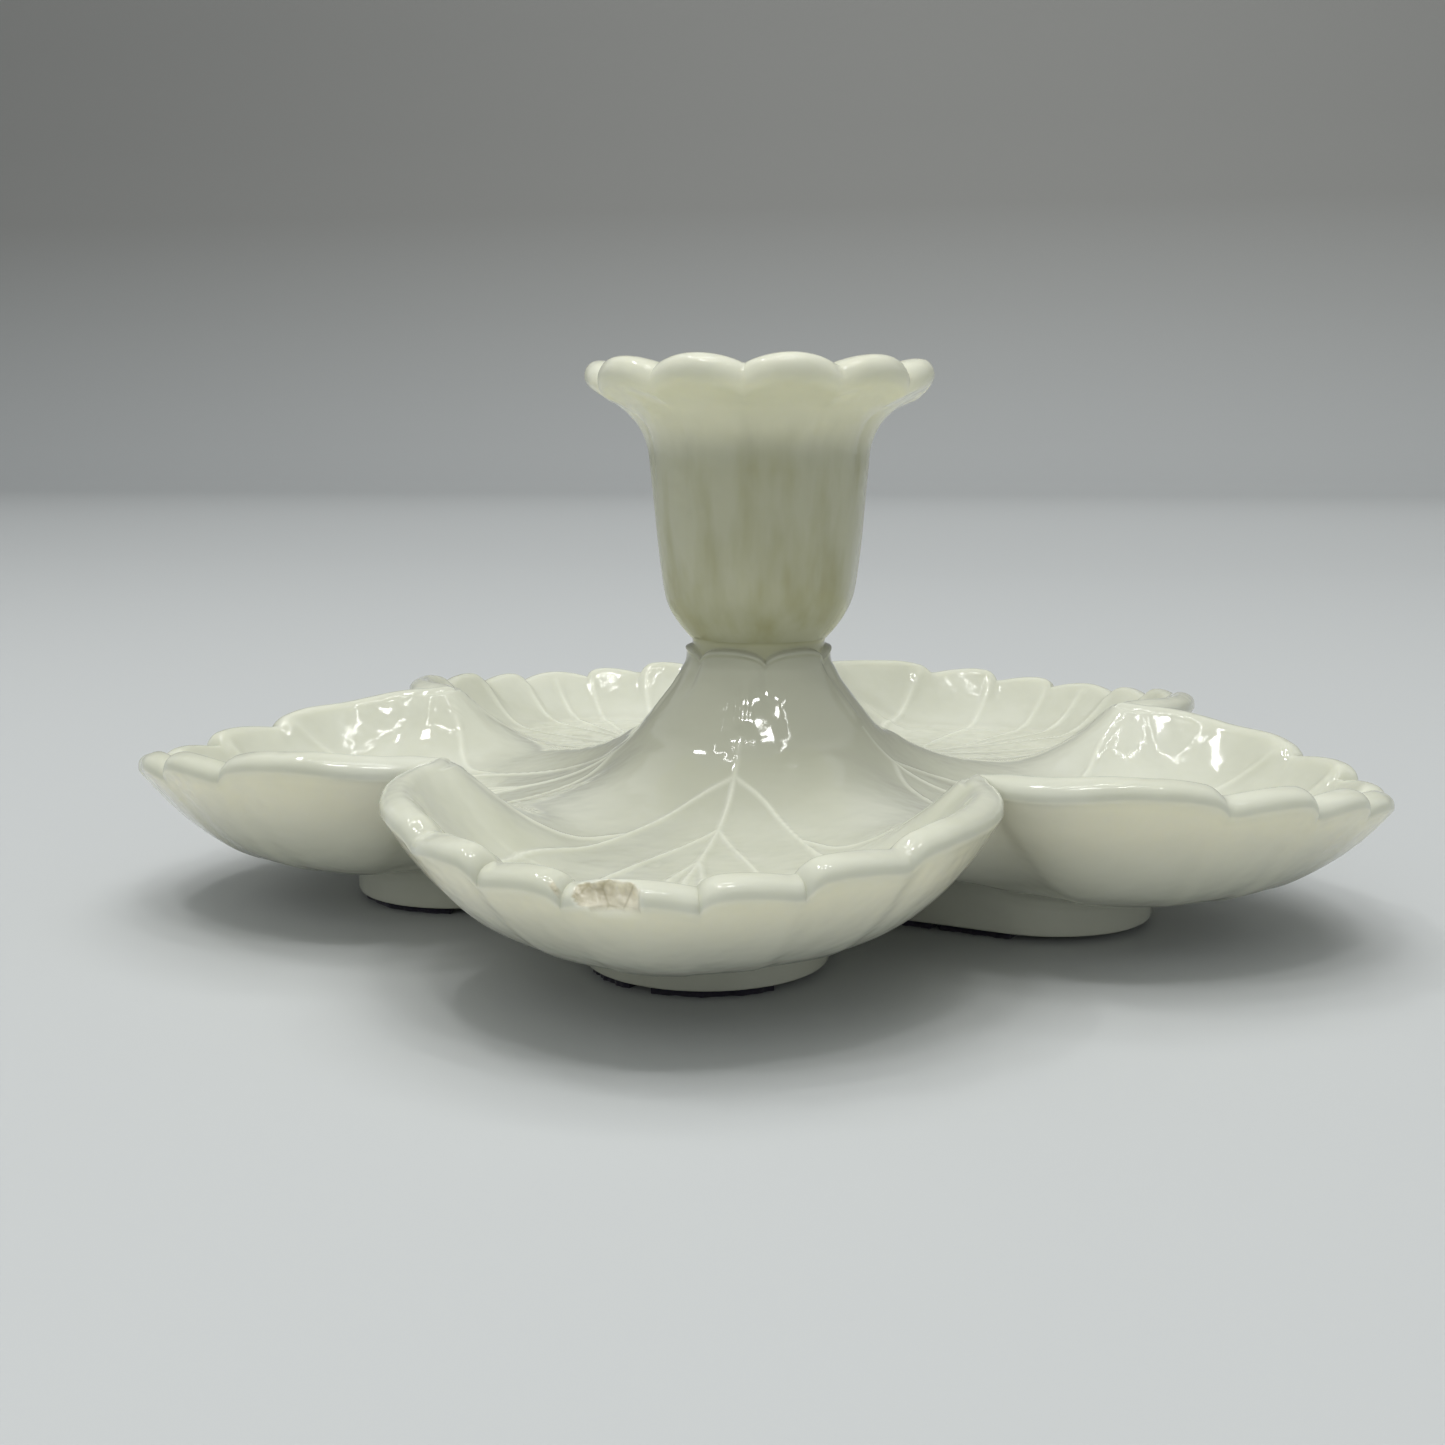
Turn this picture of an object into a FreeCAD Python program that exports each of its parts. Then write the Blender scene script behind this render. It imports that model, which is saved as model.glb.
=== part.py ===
import FreeCAD, Part

import math
import os

# Pressed opal-glass leaf candlestick, in millimetres.
# +Z is up, the candle stands on the Z axis, and z = 0 is the table under the felt strips.
# The front leaf lies along -Y.  Five cupped leaves run out of a low stem that carries the candle cup.

V = FreeCAD.Vector

# --- leaves -------------------------------------------------------------------------------------
LEAF_NAMES = ["front", "right", "back_right", "back_left", "left"]
FRONT_ANGLE = -90.0          # direction of the front leaf, degrees from +X
SECTOR = 360.0 / len(LEAF_NAMES)
HALF = SECTOR / 2.0          # half the angle that one leaf takes
TIP_R = 92.0                 # from the axis to a leaf's tip
NOTCH_R = 61.0               # from the axis to the notch between two leaves
ROUNDNESS = (1.45, 0.62)     # how full the leaf's outline is between tip and notch
LOBE_ANGLES = [4.8, 12.0, 20.5, HALF]   # notches between the lobes of the rim, on each side
LOBE_DEPTH = 1.6             # how far such a notch cuts into the outline
TIP_RIM_Z = 20.9             # height of the rim's outer edge at the tip
NOTCH_RIM_Z = 25.1           # and at the notch
LIP_CREST = (2.5, 0.92, 0.4) # the lip's crest: in from the edge, above it, and how sharply it falls
LIP_WIDTH = 3.8              # from the edge to where the curved wall begins
LIP_DEPTH = 1.5              # the outer face of the lip is this deep
WALL_WIDTH = 14.0            # width of the curved wall inside the rim
FLOOR_Z = 14.2               # floor of the leaf's hollow
FLOOR_RISE = (11.0, 8.5)     # how much, and how quickly, the floor climbs to the stem
SADDLE = (1.5, 16.0, 24.0)   # low swell between two leaves: height, where it starts and is whole
CREST_START_R = 38.0         # from here out a crest climbs to the notch
CREST_RISE = 9.3
CREST_WIDTH = 4.5            # how far the crest's foot spreads sideways
BELLY_Z = 5.9                # lowest part of a leaf's underside
BELLY_WIDTH = 36.0           # the underside climbs to the lip over this width
BELLY_POWER = 3.6
BELLY_HOLLOW = (3.1, 52.0, 40.0)   # the underside rises this much between these radii, inside the foot

# --- stem, collar and cup -----------------------------------------------------------------------
STEM_R = 17.4                # where the stem ends and the leaves begin
STEM_TOP_R = 11.7
STEM_TOP_Z = 33.2
STEM_PROFILE = [(STEM_TOP_R, STEM_TOP_Z), (12.9, 31.0), (15.2, 28.0), (STEM_R, 25.2)]
STEM_UNDER_Z = 9.0           # underside at the stem, a shallow dome
STEM_DOME_Z = 12.0
SEPALS = 6
SEPAL_TURN = 13.7            # the collar is turned this far from the front leaf
SEPAL_TOP_Z = 37.0
SEPAL_R = 11.1               # outside of the sepals
SEPAL_ARC_R = 6.0            # radius of a sepal's rounded top
NECK_R = 10.2
NECK_TOP_Z = 37.9
SOCKET_R = 11.0              # holds a 22 mm candle
SOCKET_FLOOR_Z = 47.0
SOCKET_MOUTH_Z = 70.0
CUP_OUTSIDE = [(10.4, NECK_TOP_Z), (12.0, 39.7), (13.6, 42.2), (14.5, 45.0), (15.3, 51.0), (15.9, 57.0),
               (16.5, 63.0), (16.9, 67.0), (18.3, 70.2), (20.6, 72.7), (23.4, 74.9), (25.6, 76.4)]
CUP_INSIDE = [(SOCKET_R, SOCKET_MOUTH_Z), (12.6, 73.0), (16.2, 76.0), (20.0, 78.0), (22.6, 78.8)]
RIM_TIP = (26.2, 77.9)       # outermost point of the rolled rim
PETALS = 11
PETAL_TURN = 4.4             # the petals' valleys start this far from the front leaf
PETAL_VALLEY_DEPTH = 1.7     # how deep the valleys cut into the rim's top
PETAL_CUTTER_R = 5.0
PETAL_NOTCH_DEPTH = 1.5      # and into its outer edge

# --- foot and felt ------------------------------------------------------------------------------
FELT_T = 0.9                 # thickness of the felt, which lifts the glass off the table
FOOT_LOBE_CENTRE = 45.0      # the foot has one round-ended lobe under each leaf
FOOT_LOBE_R = 16.0
FOOT_WIDTH = 5.5             # width of the foot's ring
FOOT_EDGE = 0.8              # step of its bottom edge
FELT_INSET = 0.6             # felt starts this far inside the foot's edge
FELT_WIDTH = 4.4
# strips round a lobe's end: (leaf, first angle, last angle), round the centre of that lobe
FELT_ARCS = {
    "felt_front_left": ("front", -64.0, -30.0),
    "felt_front_right": ("front", -17.0, 44.0),
    "felt_back_right": ("back_right", -40.0, 36.0),
    "felt_back_left": ("back_left", -38.0, 40.0),
    "felt_left": ("left", -10.0, 82.0),
}
# straight strips along a lobe's clockwise side: (leaf, first and last distance out from the axis)
FELT_BARS = {
    "felt_right_inner": ("right", 26.0, 34.5),
    "felt_right_outer": ("right", 35.6, 46.0),
}


def polar(radius, degrees, z=0.0):
    angle = math.radians(degrees)
    return V(radius * math.cos(angle), radius * math.sin(angle), z)


def direction(leaf):
    return FRONT_ANGLE + SECTOR * LEAF_NAMES.index(leaf)


def outline_radius(phi):
    """Radius of the leaf's outline at an angle from its midrib, without the lobes."""
    share = min(abs(phi) / HALF, 1.0)
    return NOTCH_R + (TIP_R - NOTCH_R) * (1.0 - share ** ROUNDNESS[0]) ** ROUNDNESS[1]


OUTLINE_STEP = 0.5
OUTLINE = [polar(outline_radius(OUTLINE_STEP * i), OUTLINE_STEP * i) for i in range(
    -int(HALF / OUTLINE_STEP), int(HALF / OUTLINE_STEP) + 1)]


def rim_distance(r, phi):
    """Distance inwards from the leaf's outline, negative outside it."""
    point = polar(r, phi)
    nearest = min(point.distanceToPoint(p) for p in OUTLINE)
    return nearest if r < outline_radius(phi) else -nearest


def rim_height(phi):
    return TIP_RIM_Z + (NOTCH_RIM_Z - TIP_RIM_Z) * (abs(phi) / HALF) ** 1.5


def smooth_step(value, start, end):
    share = min(max((value - start) / (end - start), 0.0), 1.0)
    return share * share * (3.0 - 2.0 * share)


def top_height(r, phi):
    """Height of the leaf's upper face: hollow floor, crest to the next leaf, curved wall and lip."""
    from_stem = max(r - STEM_R, 0.0)
    floor = FLOOR_Z + FLOOR_RISE[0] * math.exp(-from_stem / FLOOR_RISE[1])
    floor += SADDLE[0] * smooth_step(r, SADDLE[1], SADDLE[2]) * (abs(phi) / HALF) ** 2
    climb = max(r - CREST_START_R, 0.0) / (NOTCH_R - CREST_START_R)
    sideways = r * math.sin(math.radians(HALF - abs(phi)))
    crest = CREST_RISE * min(climb, 1.0) ** 1.5 * math.exp(-sideways / CREST_WIDTH)
    inward = rim_distance(r, phi)
    edge = rim_height(phi)
    meets = edge + LIP_CREST[1] - LIP_CREST[2] * (LIP_WIDTH - LIP_CREST[0]) ** 2
    rise = max(1.0 - max(inward - LIP_WIDTH, 0.0) / WALL_WIDTH, 0.0) ** 2
    height = floor + max(crest, (meets - floor) * rise)
    if inward < LIP_WIDTH:
        height += edge + LIP_CREST[1] - LIP_CREST[2] * (inward - LIP_CREST[0]) ** 2 - meets
    return height


def under_height(r, phi):
    """Height of the leaf's underside, a bowl that rises to the lip and is hollow inside the foot."""
    share = max(1.0 - rim_distance(r, phi) / BELLY_WIDTH, 0.0)
    rise = (rim_height(phi) - LIP_DEPTH - BELLY_Z) * min(share, 1.0) ** BELLY_POWER
    return BELLY_Z + rise + BELLY_HOLLOW[0] * smooth_step(r, BELLY_HOLLOW[1], BELLY_HOLLOW[2])


def leaf_section(phi):
    """Closed wire of the leaf's wall in the upright plane through the axis at an angle phi."""
    share = abs(phi) / HALF
    inner = STEM_R - 4.0
    outer = NOTCH_R + 5.0 + (TIP_R - NOTCH_R - 2.0) * max(math.cos(share * math.pi / 2.0), 0.0) ** 0.8
    count = 16
    radii = [inner + (outer - inner) * i / count for i in range(count + 1)]
    top = [polar(r, phi, top_height(r, phi)) for r in radii]
    under = [polar(r, phi, under_height(r, phi)) for r in radii]
    edges = []
    for points in (top, under):
        curve = Part.BSplineCurve()
        curve.interpolate(points)
        edges.append(curve.toShape())
    outer_edge = Part.makeLine(top[-1], under[-1])
    inner_edge = Part.makeLine(under[0], top[0])
    return Part.Wire([edges[0], outer_edge, edges[1], inner_edge])


def leaf_outline_prism():
    """Upright prism of the scalloped outline: lobes that lean to the tip, with a notch between each two."""
    angles = [-a for a in reversed(LOBE_ANGLES)] + LOBE_ANGLES
    points = []
    for phi in angles:
        depth = 0.0 if abs(phi) == HALF else LOBE_DEPTH
        points.append(polar(outline_radius(phi) - depth, phi))
    edges = [Part.makeLine(V(0, 0, 0), points[0])]
    for i in range(len(points) - 1):
        middle = 0.5 * (angles[i] + angles[i + 1])
        crest = polar(outline_radius(middle), middle)
        edges.append(Part.Arc(points[i], crest, points[i + 1]).toShape())
    edges.append(Part.makeLine(points[-1], V(0, 0, 0)))
    return Part.Face(Part.Wire(edges)).extrude(V(0, 0, 60))


def make_leaf():
    """One leaf along +X, between the stem and its rim."""
    stations = [0.0, 9.0, 17.0, 24.0, 29.0, 32.5, 34.7, HALF]
    stations = [-a for a in reversed(stations[1:])] + stations
    body = Part.makeLoft([leaf_section(phi) for phi in stations], True)
    body = body.common(leaf_outline_prism())
    return body.cut(Part.makeCylinder(STEM_R, 80)).Solids[0]


def revolved(profile):
    points = [V(r, 0, z) for r, z in profile]
    face = Part.Face(Part.makePolygon(points + [points[0]]))
    return face.revolve(V(0, 0, 0), V(0, 0, 1), 360)


def revolved_smooth(runs):
    """Solid turned from a closed profile of runs, each one a smooth curve or, with two points, a line."""
    edges = []
    for run in runs:
        points = [V(r, 0, z) for r, z in run]
        if len(points) == 2:
            edges.append(Part.makeLine(points[0], points[1]))
        else:
            curve = Part.BSplineCurve()
            curve.interpolate(points)
            edges.append(curve.toShape())
    return Part.Face(Part.Wire(edges)).revolve(V(0, 0, 0), V(0, 0, 1), 360)


def make_stem():
    runs = [
        [(0, STEM_TOP_Z), (STEM_TOP_R, STEM_TOP_Z)],
        STEM_PROFILE,
        [STEM_PROFILE[-1], (STEM_R, STEM_UNDER_Z)],
        [(STEM_R, STEM_UNDER_Z), (STEM_R * 0.6, STEM_DOME_Z - 0.9), (0, STEM_DOME_Z)],
        [(0, STEM_DOME_Z), (0, STEM_TOP_Z)],
    ]
    return revolved_smooth(runs)


def radial_rod(radius, degrees, z):
    """Lying cylinder that runs out from the axis."""
    return Part.makeCylinder(radius, 60, V(0, 0, z), polar(1, degrees))


def make_collar():
    """Ring of round-topped sepals that clasps the neck under the cup."""
    neck = Part.makeCylinder(NECK_R, NECK_TOP_Z - STEM_TOP_Z, V(0, 0, STEM_TOP_Z))
    band = revolved([(NECK_R - 1.0, STEM_TOP_Z), (STEM_TOP_R, STEM_TOP_Z), (SEPAL_R, STEM_TOP_Z + 1.5),
                     (SEPAL_R, SEPAL_TOP_Z), (NECK_R - 1.0, SEPAL_TOP_Z)])
    ring = revolved([(NECK_R - 1.0, STEM_TOP_Z), (STEM_TOP_R, STEM_TOP_Z), (SEPAL_R - 0.2, STEM_TOP_Z + 1.0),
                     (NECK_R - 1.0, STEM_TOP_Z + 1.0)])
    rods = []
    for i in range(SEPALS):
        angle = FRONT_ANGLE + SEPAL_TURN + (i + 0.5) * 360.0 / SEPALS
        rods.append(radial_rod(SEPAL_ARC_R, angle, SEPAL_TOP_Z - SEPAL_ARC_R))
    sepals = band.common(rods[0].multiFuse(rods[1:]))
    return neck.multiFuse([sepals, ring]).removeSplitter().Solids[0]


def make_cup():
    """Tulip-shaped cup with a flared rim of eleven petals and a straight socket for the candle."""
    runs = [
        [(0, NECK_TOP_Z), CUP_OUTSIDE[0]],
        CUP_OUTSIDE,
        [CUP_OUTSIDE[-1], RIM_TIP, (24.6, 79.0), CUP_INSIDE[-1]],
        CUP_INSIDE[::-1],
        [(SOCKET_R, SOCKET_MOUTH_Z), (SOCKET_R, SOCKET_FLOOR_Z)],
        [(SOCKET_R, SOCKET_FLOOR_Z), (0, SOCKET_FLOOR_Z)],
        [(0, SOCKET_FLOOR_Z), (0, NECK_TOP_Z)],
    ]
    body = revolved_smooth(runs)
    top = 79.0
    cutters = []
    for i in range(PETALS):
        angle = FRONT_ANGLE + PETAL_TURN + i * 360.0 / PETALS
        height = top - PETAL_VALLEY_DEPTH + PETAL_CUTTER_R
        groove = Part.makeCylinder(PETAL_CUTTER_R, 16, polar(17, angle, height), polar(1, angle))
        edge_r = RIM_TIP[0] - PETAL_NOTCH_DEPTH + 2.0
        notch = Part.makeCylinder(2.0, 12, polar(edge_r, angle, top - 8))
        cutters += [groove, notch]
    return body.cut(cutters[0].multiFuse(cutters[1:])).Solids[0]


def foot_prism(inset, low, high):
    """Star of five round-ended lobes, one under each leaf, drawn in from the foot's edge by inset."""
    radius = FOOT_LOBE_R - inset
    height = high - low
    lobes = []
    for leaf in LEAF_NAMES:
        end = Part.makeCylinder(radius, height, V(FOOT_LOBE_CENTRE, 0, low))
        arm = Part.makeBox(FOOT_LOBE_CENTRE, 2.0 * radius, height, V(0, -radius, low))
        lobe = end.fuse(arm)
        lobe.rotate(V(0, 0, 0), V(0, 0, 1), direction(leaf))
        lobes.append(lobe)
    return lobes[0].multiFuse(lobes[1:]).removeSplitter()


def make_foot(leaves):
    """Lobed ring that carries the glass, closed above by the undersides of the leaves."""
    outside = foot_prism(0.0, FELT_T + FOOT_EDGE, 30.0)
    sole = foot_prism(FOOT_EDGE, FELT_T, FELT_T + FOOT_EDGE)
    ring = outside.fuse(sole).cut(foot_prism(FOOT_WIDTH, 0.0, 30.0))
    for leaf in leaves:
        ring = ring.cut(leaf)
    return min(ring.Solids, key=lambda solid: solid.BoundBox.ZMin)


def make_felt_arc(start, end):
    """Flat felt strip round the end of a foot lobe that lies along +X."""
    centre = V(FOOT_LOBE_CENTRE, 0, 0)
    outer = FOOT_LOBE_R - FELT_INSET
    disc = Part.makeCylinder(outer, FELT_T, centre, V(0, 0, 1), end - start)
    disc.rotate(centre, V(0, 0, 1), start)
    return disc.cut(Part.makeCylinder(outer - FELT_WIDTH, FELT_T, centre)).Solids[0]


def make_felt_bar(start, end):
    """Straight felt strip under the clockwise side of a foot lobe that lies along +X."""
    return Part.makeBox(end - start, FELT_WIDTH, FELT_T, V(start, FELT_INSET - FOOT_LOBE_R, 0))


def turned(shape, leaf):
    copy = shape.copy()
    copy.rotate(V(0, 0, 0), V(0, 0, 1), direction(leaf))
    return copy


def main():
    os.makedirs("parts", exist_ok=True)
    leaf = make_leaf()
    leaves = [turned(leaf, name) for name in LEAF_NAMES]
    nodes = {"candle_cup": make_cup(), "sepal_collar": make_collar(), "stem": make_stem()}
    for name, shape in zip(LEAF_NAMES, leaves):
        nodes["leaf_" + name] = shape
    nodes["foot_ring"] = make_foot(leaves)
    for name, (leaf_name, start, end) in FELT_ARCS.items():
        nodes[name] = turned(make_felt_arc(start, end), leaf_name)
    for name, (leaf_name, start, end) in FELT_BARS.items():
        nodes[name] = turned(make_felt_bar(start, end), leaf_name)
    for name, shape in nodes.items():
        shape.exportStep("parts/" + name + ".step")
        box = shape.BoundBox
        print(name, shape.isValid(), round(shape.Volume), round(box.XMin, 1), round(box.XMax, 1),
              round(box.YMin, 1), round(box.YMax, 1), round(box.ZMin, 2), round(box.ZMax, 2))


main()
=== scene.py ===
import math

import bpy
import numpy as np
from mathutils import Matrix, Vector


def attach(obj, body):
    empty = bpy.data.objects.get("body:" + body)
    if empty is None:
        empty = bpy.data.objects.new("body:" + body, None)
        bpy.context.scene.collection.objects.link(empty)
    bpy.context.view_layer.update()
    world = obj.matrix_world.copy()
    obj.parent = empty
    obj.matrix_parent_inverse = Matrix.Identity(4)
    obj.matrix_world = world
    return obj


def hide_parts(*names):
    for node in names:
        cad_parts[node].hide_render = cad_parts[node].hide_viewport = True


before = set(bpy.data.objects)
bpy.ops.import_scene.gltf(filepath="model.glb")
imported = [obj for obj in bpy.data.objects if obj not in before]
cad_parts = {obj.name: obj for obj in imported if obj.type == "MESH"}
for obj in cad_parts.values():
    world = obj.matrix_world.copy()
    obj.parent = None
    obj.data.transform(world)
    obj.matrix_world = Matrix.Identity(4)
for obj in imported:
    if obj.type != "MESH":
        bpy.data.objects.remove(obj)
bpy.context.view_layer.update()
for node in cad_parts.values():
    node.select_set(False)


# ---- The five leaves -------------------------------------------------------------------------------
# Five cupped leaves of milky opal glass, pressed in one go with the rest of the candlestick.
# Each has a thick rounded lip in seven lobes, raised veins on its floor and a bowl-shaped underside.
# The front one has lost a flake from the lip at its tip.

MM = 0.001
LEAVES = ["front", "right", "back_right", "back_left", "left"]
FRONT_DEGREES = -90.0
SECTOR = 72.0
HALF = 36.0                       # half of a leaf's share of the circle, in degrees
STEM_R = 17.4                     # mm, where the leaves leave the stem
TIP_R, NOTCH_R = 92.0, 61.0
FULLNESS = (1.45, 0.62)           # how full the outline is between tip and notch
LOBE_NOTCHES = [4.8, 12.0, 20.5]  # degrees from the midrib, on each side
LAST_LOBE = 5.0                   # degrees in which the last lobe rises from its notch
LOBE_LEAN, LOBE_BLUNT = 0.6, 0.8
NOTCH_STEPS = [0.3, 0.9, 1.0]     # how much the lip steps up at each of them, in mm
STEP_START, STEP_END = 0.8, 1.4   # degrees before and after the notch
TIP_Z, SLOPE_RISE, LOBE_RISE = 20.9, 2.0, 1.3
LOBE_DEPTH = 1.0
TOP_FADE, UNDER_FADE = (5.0, 22.0), (0.0, 22.0)          # mm from the lip in which the lobes fade out
NEAR_LIP, OFF_LIP = (3.0, 13.0), (3.6, 5.0)              # mm from the lip
OFF_STEM = (18.0, 26.0)                                  # mm from the axis
LIP_LINE = [(3.8, 0.25), (3.2, 0.70), (2.5, 0.92), (1.5, 0.76), (0.65, 0.34), (0.14, -0.30), (0.0, -1.0),
            (0.0, -1.5)]          # section of the lip: in from the edge, and up from it
FLOOR_Z, FLOOR_RISE, FLOOR_FALL = 14.2, 11.0, 8.5        # the floor, and its climb to the stem
SADDLE_Z, SADDLE_RISE, SADDLE_FALL = 16.0, 10.2, 9.0     # the same, towards the next leaf
WALL_WIDTH, WALL_EXTRA = 14.0, 4.0                       # the curved wall inside the lip
UNDER_Z, UNDER_WIDTH, UNDER_POWER, UNDER_HOLLOW = 5.9, 36.0, 3.6, 3.1
VEINS = [                         # along the midrib and sideways from it, one side of the leaf
    [(22.5, 0.0), (27.0, 5.0), (37.0, 10.3), (46.0, 14.6), (54.0, 20.0), (65.0, 24.6), (77.5, 28.6)],
    [(40.0, 12.0), (44.0, 17.0), (45.3, 22.0), (45.8, 27.5), (47.5, 32.5)],
    [(36.0, 0.0), (42.5, 2.8), (50.5, 6.5), (59.0, 9.7), (72.0, 13.6), (86.0, 18.2)],
    [(50.0, 0.0), (60.0, 2.2), (75.0, 5.0), (90.5, 7.5)],
]
MIDRIB = (17.0, 91.0)             # from the stem to the tip
VEIN_HEIGHT, VEIN_SWELL = 0.24, 0.18       # mm, and how much more near the lip
VEIN_HALF_WIDTH, VEIN_SPREAD = 0.45, 0.55  # the same for its width
VEIN_STRENGTH, VEIN_LINE = 0.55, 0.4       # the pale line along its crest
PILLOW_HEIGHT, PILLOW_WIDTH = 0.10, 3.0    # the glass swells a little between the veins
LEAF_COLUMNS, TOP_ROWS, UNDER_ROWS = 300, 168, 54
LEAF_MILK = 0.5                   # share of the light that goes into the glass, away from the joins
LEAN = {"left": 1.7, "right": -1.7}       # mm that one rim stands up and the other down
CHIP_B, CHIP_HALF_WIDTH, CHIP_DEPTH = -5.0, 6.6, 2.6     # the missing flake, sideways from the midrib
CHIP_LOW_Z, CHIP_HIGH_Z = 17.9, 21.6


def smooth(value, start, end):
    """0 before start, 1 after end, an S-curve between."""
    share = np.clip((value - start) / (end - start), 0.0, 1.0)
    return share * share * (3.0 - 2.0 * share)


def edge_point(degrees):
    """Plan point of the leaf's outline, without its lobes, at an angle from the midrib."""
    share = np.minimum(np.abs(degrees) / HALF, 1.0)
    r = NOTCH_R + (TIP_R - NOTCH_R) * (1.0 - share ** FULLNESS[0]) ** FULLNESS[1]
    angle = np.radians(degrees)
    return np.stack([r * np.cos(angle), r * np.sin(angle)], -1)


def lobe_height(degrees):
    """1 at the middle of a lobe and 0 at the notches; the lobes lean towards the tip."""
    size = np.abs(degrees)
    height = np.ones_like(size)
    stops = [-LOBE_NOTCHES[0]] + LOBE_NOTCHES
    for low, high in zip(stops, stops[1:]):
        share = np.clip((size - low) / (high - low), 0.0, 1.0)
        lean = share if low < 0.0 else share ** LOBE_LEAN
        height = np.where((size >= low) & (size < high), np.sin(math.pi * lean) ** LOBE_BLUNT, height)
    last = np.clip((size - LOBE_NOTCHES[-1]) / LAST_LOBE, 0.0, 1.0)
    return np.where(size >= LOBE_NOTCHES[-1], np.sin(math.pi * last / 2.0) ** LOBE_BLUNT, height)


def edge_height(degrees):
    """Height of the lip's outer edge: it climbs from the tip, with a small step at each notch."""
    size = np.abs(degrees)
    height = TIP_Z + SLOPE_RISE * (size / HALF) ** 1.5 + LOBE_RISE * (lobe_height(degrees) - 0.75)
    for notch, step in zip(LOBE_NOTCHES, NOTCH_STEPS):
        height = height + step * smooth(size, notch - STEP_START, notch + STEP_END)
    return height


def nearest(points, line):
    """For each plan point, its distance to a polyline's points and the index of the nearest one."""
    distance = np.empty(len(points))
    index = np.empty(len(points), int)
    batch = 4000
    for start in range(0, len(points), batch):
        part = points[start:start + batch]
        gap = np.hypot(part[:, None, 0] - line[None, :, 0], part[:, None, 1] - line[None, :, 1])
        index[start:start + batch] = gap.argmin(1)
        distance[start:start + batch] = gap.min(1)
    return distance, index


def spline(stops, count):
    """Smooth curve through the stops, as count points for each step."""
    knots = np.array([stops[0]] + list(stops) + [stops[-1]], float)
    knots[0] = 2.0 * knots[1] - knots[2]
    knots[-1] = 2.0 * knots[-2] - knots[-3]
    points = []
    for i in range(1, len(knots) - 2):
        for t in np.linspace(0.0, 1.0, count, endpoint=False):
            a, b, c, d = knots[i - 1:i + 3]
            points.append(0.5 * (2 * b + (c - a) * t + (2 * a - 5 * b + 4 * c - d) * t * t
                                 + (3 * b - a - 3 * c + d) * t ** 3))
    return np.array(points + [knots[-2]])


# The outline in fine steps, with its length, lobes and height at each of its points.
rim_degrees = HALF * np.sin(np.linspace(-math.pi / 2.0, math.pi / 2.0, 1601))
rim_points = edge_point(rim_degrees)
rim_steps = np.hypot(*np.diff(rim_points, axis=0).T)
rim_length = np.concatenate([[0.0], np.cumsum(rim_steps)])
rim_lobes = lobe_height(rim_degrees)
rim_heights = edge_height(rim_degrees)


def base_height(r, degrees):
    """The leaf's floor: it falls from the stem to the hollow and swells a little to the next leaf."""
    floor = FLOOR_Z + FLOOR_RISE * np.exp(-(r - STEM_R) / FLOOR_FALL)
    saddle = SADDLE_Z + SADDLE_RISE * np.exp(-(r - STEM_R) / SADDLE_FALL)
    return floor + (saddle - floor) * smooth(np.abs(degrees), 8.0, HALF) * smooth(r, STEM_R, 22.0)


def wall_width(degrees):
    return WALL_WIDTH + WALL_EXTRA * smooth(np.abs(degrees), 26.0, HALF)


def leaf_top(points):
    """Height of the upper face over plan points, and how far each is on a vein, from 0 to 1."""
    r = np.hypot(points[:, 0], points[:, 1])
    degrees = np.degrees(np.arctan2(points[:, 1], points[:, 0]))
    distance, index = nearest(points, rim_points)
    fade = 1.0 - smooth(distance, *TOP_FADE)
    distance = distance - LOBE_DEPTH * (1.0 - rim_lobes[index]) * fade
    floor = base_height(r, degrees)
    reach = rim_heights[index] + LIP_LINE[0][1] - floor
    inward = np.maximum(distance - LIP_LINE[0][0], 0.0)
    height = floor + reach * np.maximum(1.0 - inward / wall_width(rim_degrees[index]), 0.0) ** 2
    midrib = np.stack([np.linspace(*MIDRIB, 240), np.zeros(240)], -1)
    gaps = [nearest(points, midrib)[0]]
    for stops in VEINS:
        for side in (1.0, -1.0):
            line = spline([(a, b * side) for a, b in stops], 24)
            gaps.append(nearest(points, line)[0])
    gap = np.min(gaps, 0)
    near_lip = 1.0 - smooth(distance, *NEAR_LIP)
    off_stem = smooth(r, *OFF_STEM)
    off_lip = smooth(distance, *OFF_LIP)
    width = VEIN_HALF_WIDTH + VEIN_SPREAD * near_lip
    ridge = (VEIN_HEIGHT + VEIN_SWELL * near_lip) * np.exp(-(gap / width) ** 2)
    pillow = PILLOW_HEIGHT * (1.0 - np.exp(-(gap / PILLOW_WIDTH) ** 2))
    relief = (ridge * (0.25 + 0.75 * off_stem) + pillow * off_stem) * off_lip
    line = VEIN_STRENGTH * np.exp(-(gap / VEIN_LINE) ** 2) * off_lip * (0.3 + 0.7 * off_stem)
    return height + relief, line * (1.0 - 0.75 * near_lip)


def leaf_under(points):
    """Height of the underside over plan points, in mm."""
    r = np.hypot(points[:, 0], points[:, 1])
    distance, index = nearest(points, rim_points)
    fade = 1.0 - smooth(distance, *UNDER_FADE)
    distance = np.maximum(distance - LOBE_DEPTH * (1.0 - rim_lobes[index]) * fade, 0.0)
    top = rim_heights[index] + LIP_LINE[-1][1]
    rise = (top - UNDER_Z) * np.maximum(1.0 - distance / UNDER_WIDTH, 0.0) ** UNDER_POWER
    return UNDER_Z + rise + UNDER_HOLLOW * smooth(-r, -52.0, -40.0)


def read_vertices(piece):
    """A mesh's points, in metres."""
    place = np.empty(len(piece.data.vertices) * 3)
    piece.data.vertices.foreach_get("co", place)
    return place.reshape(-1, 3)


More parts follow.
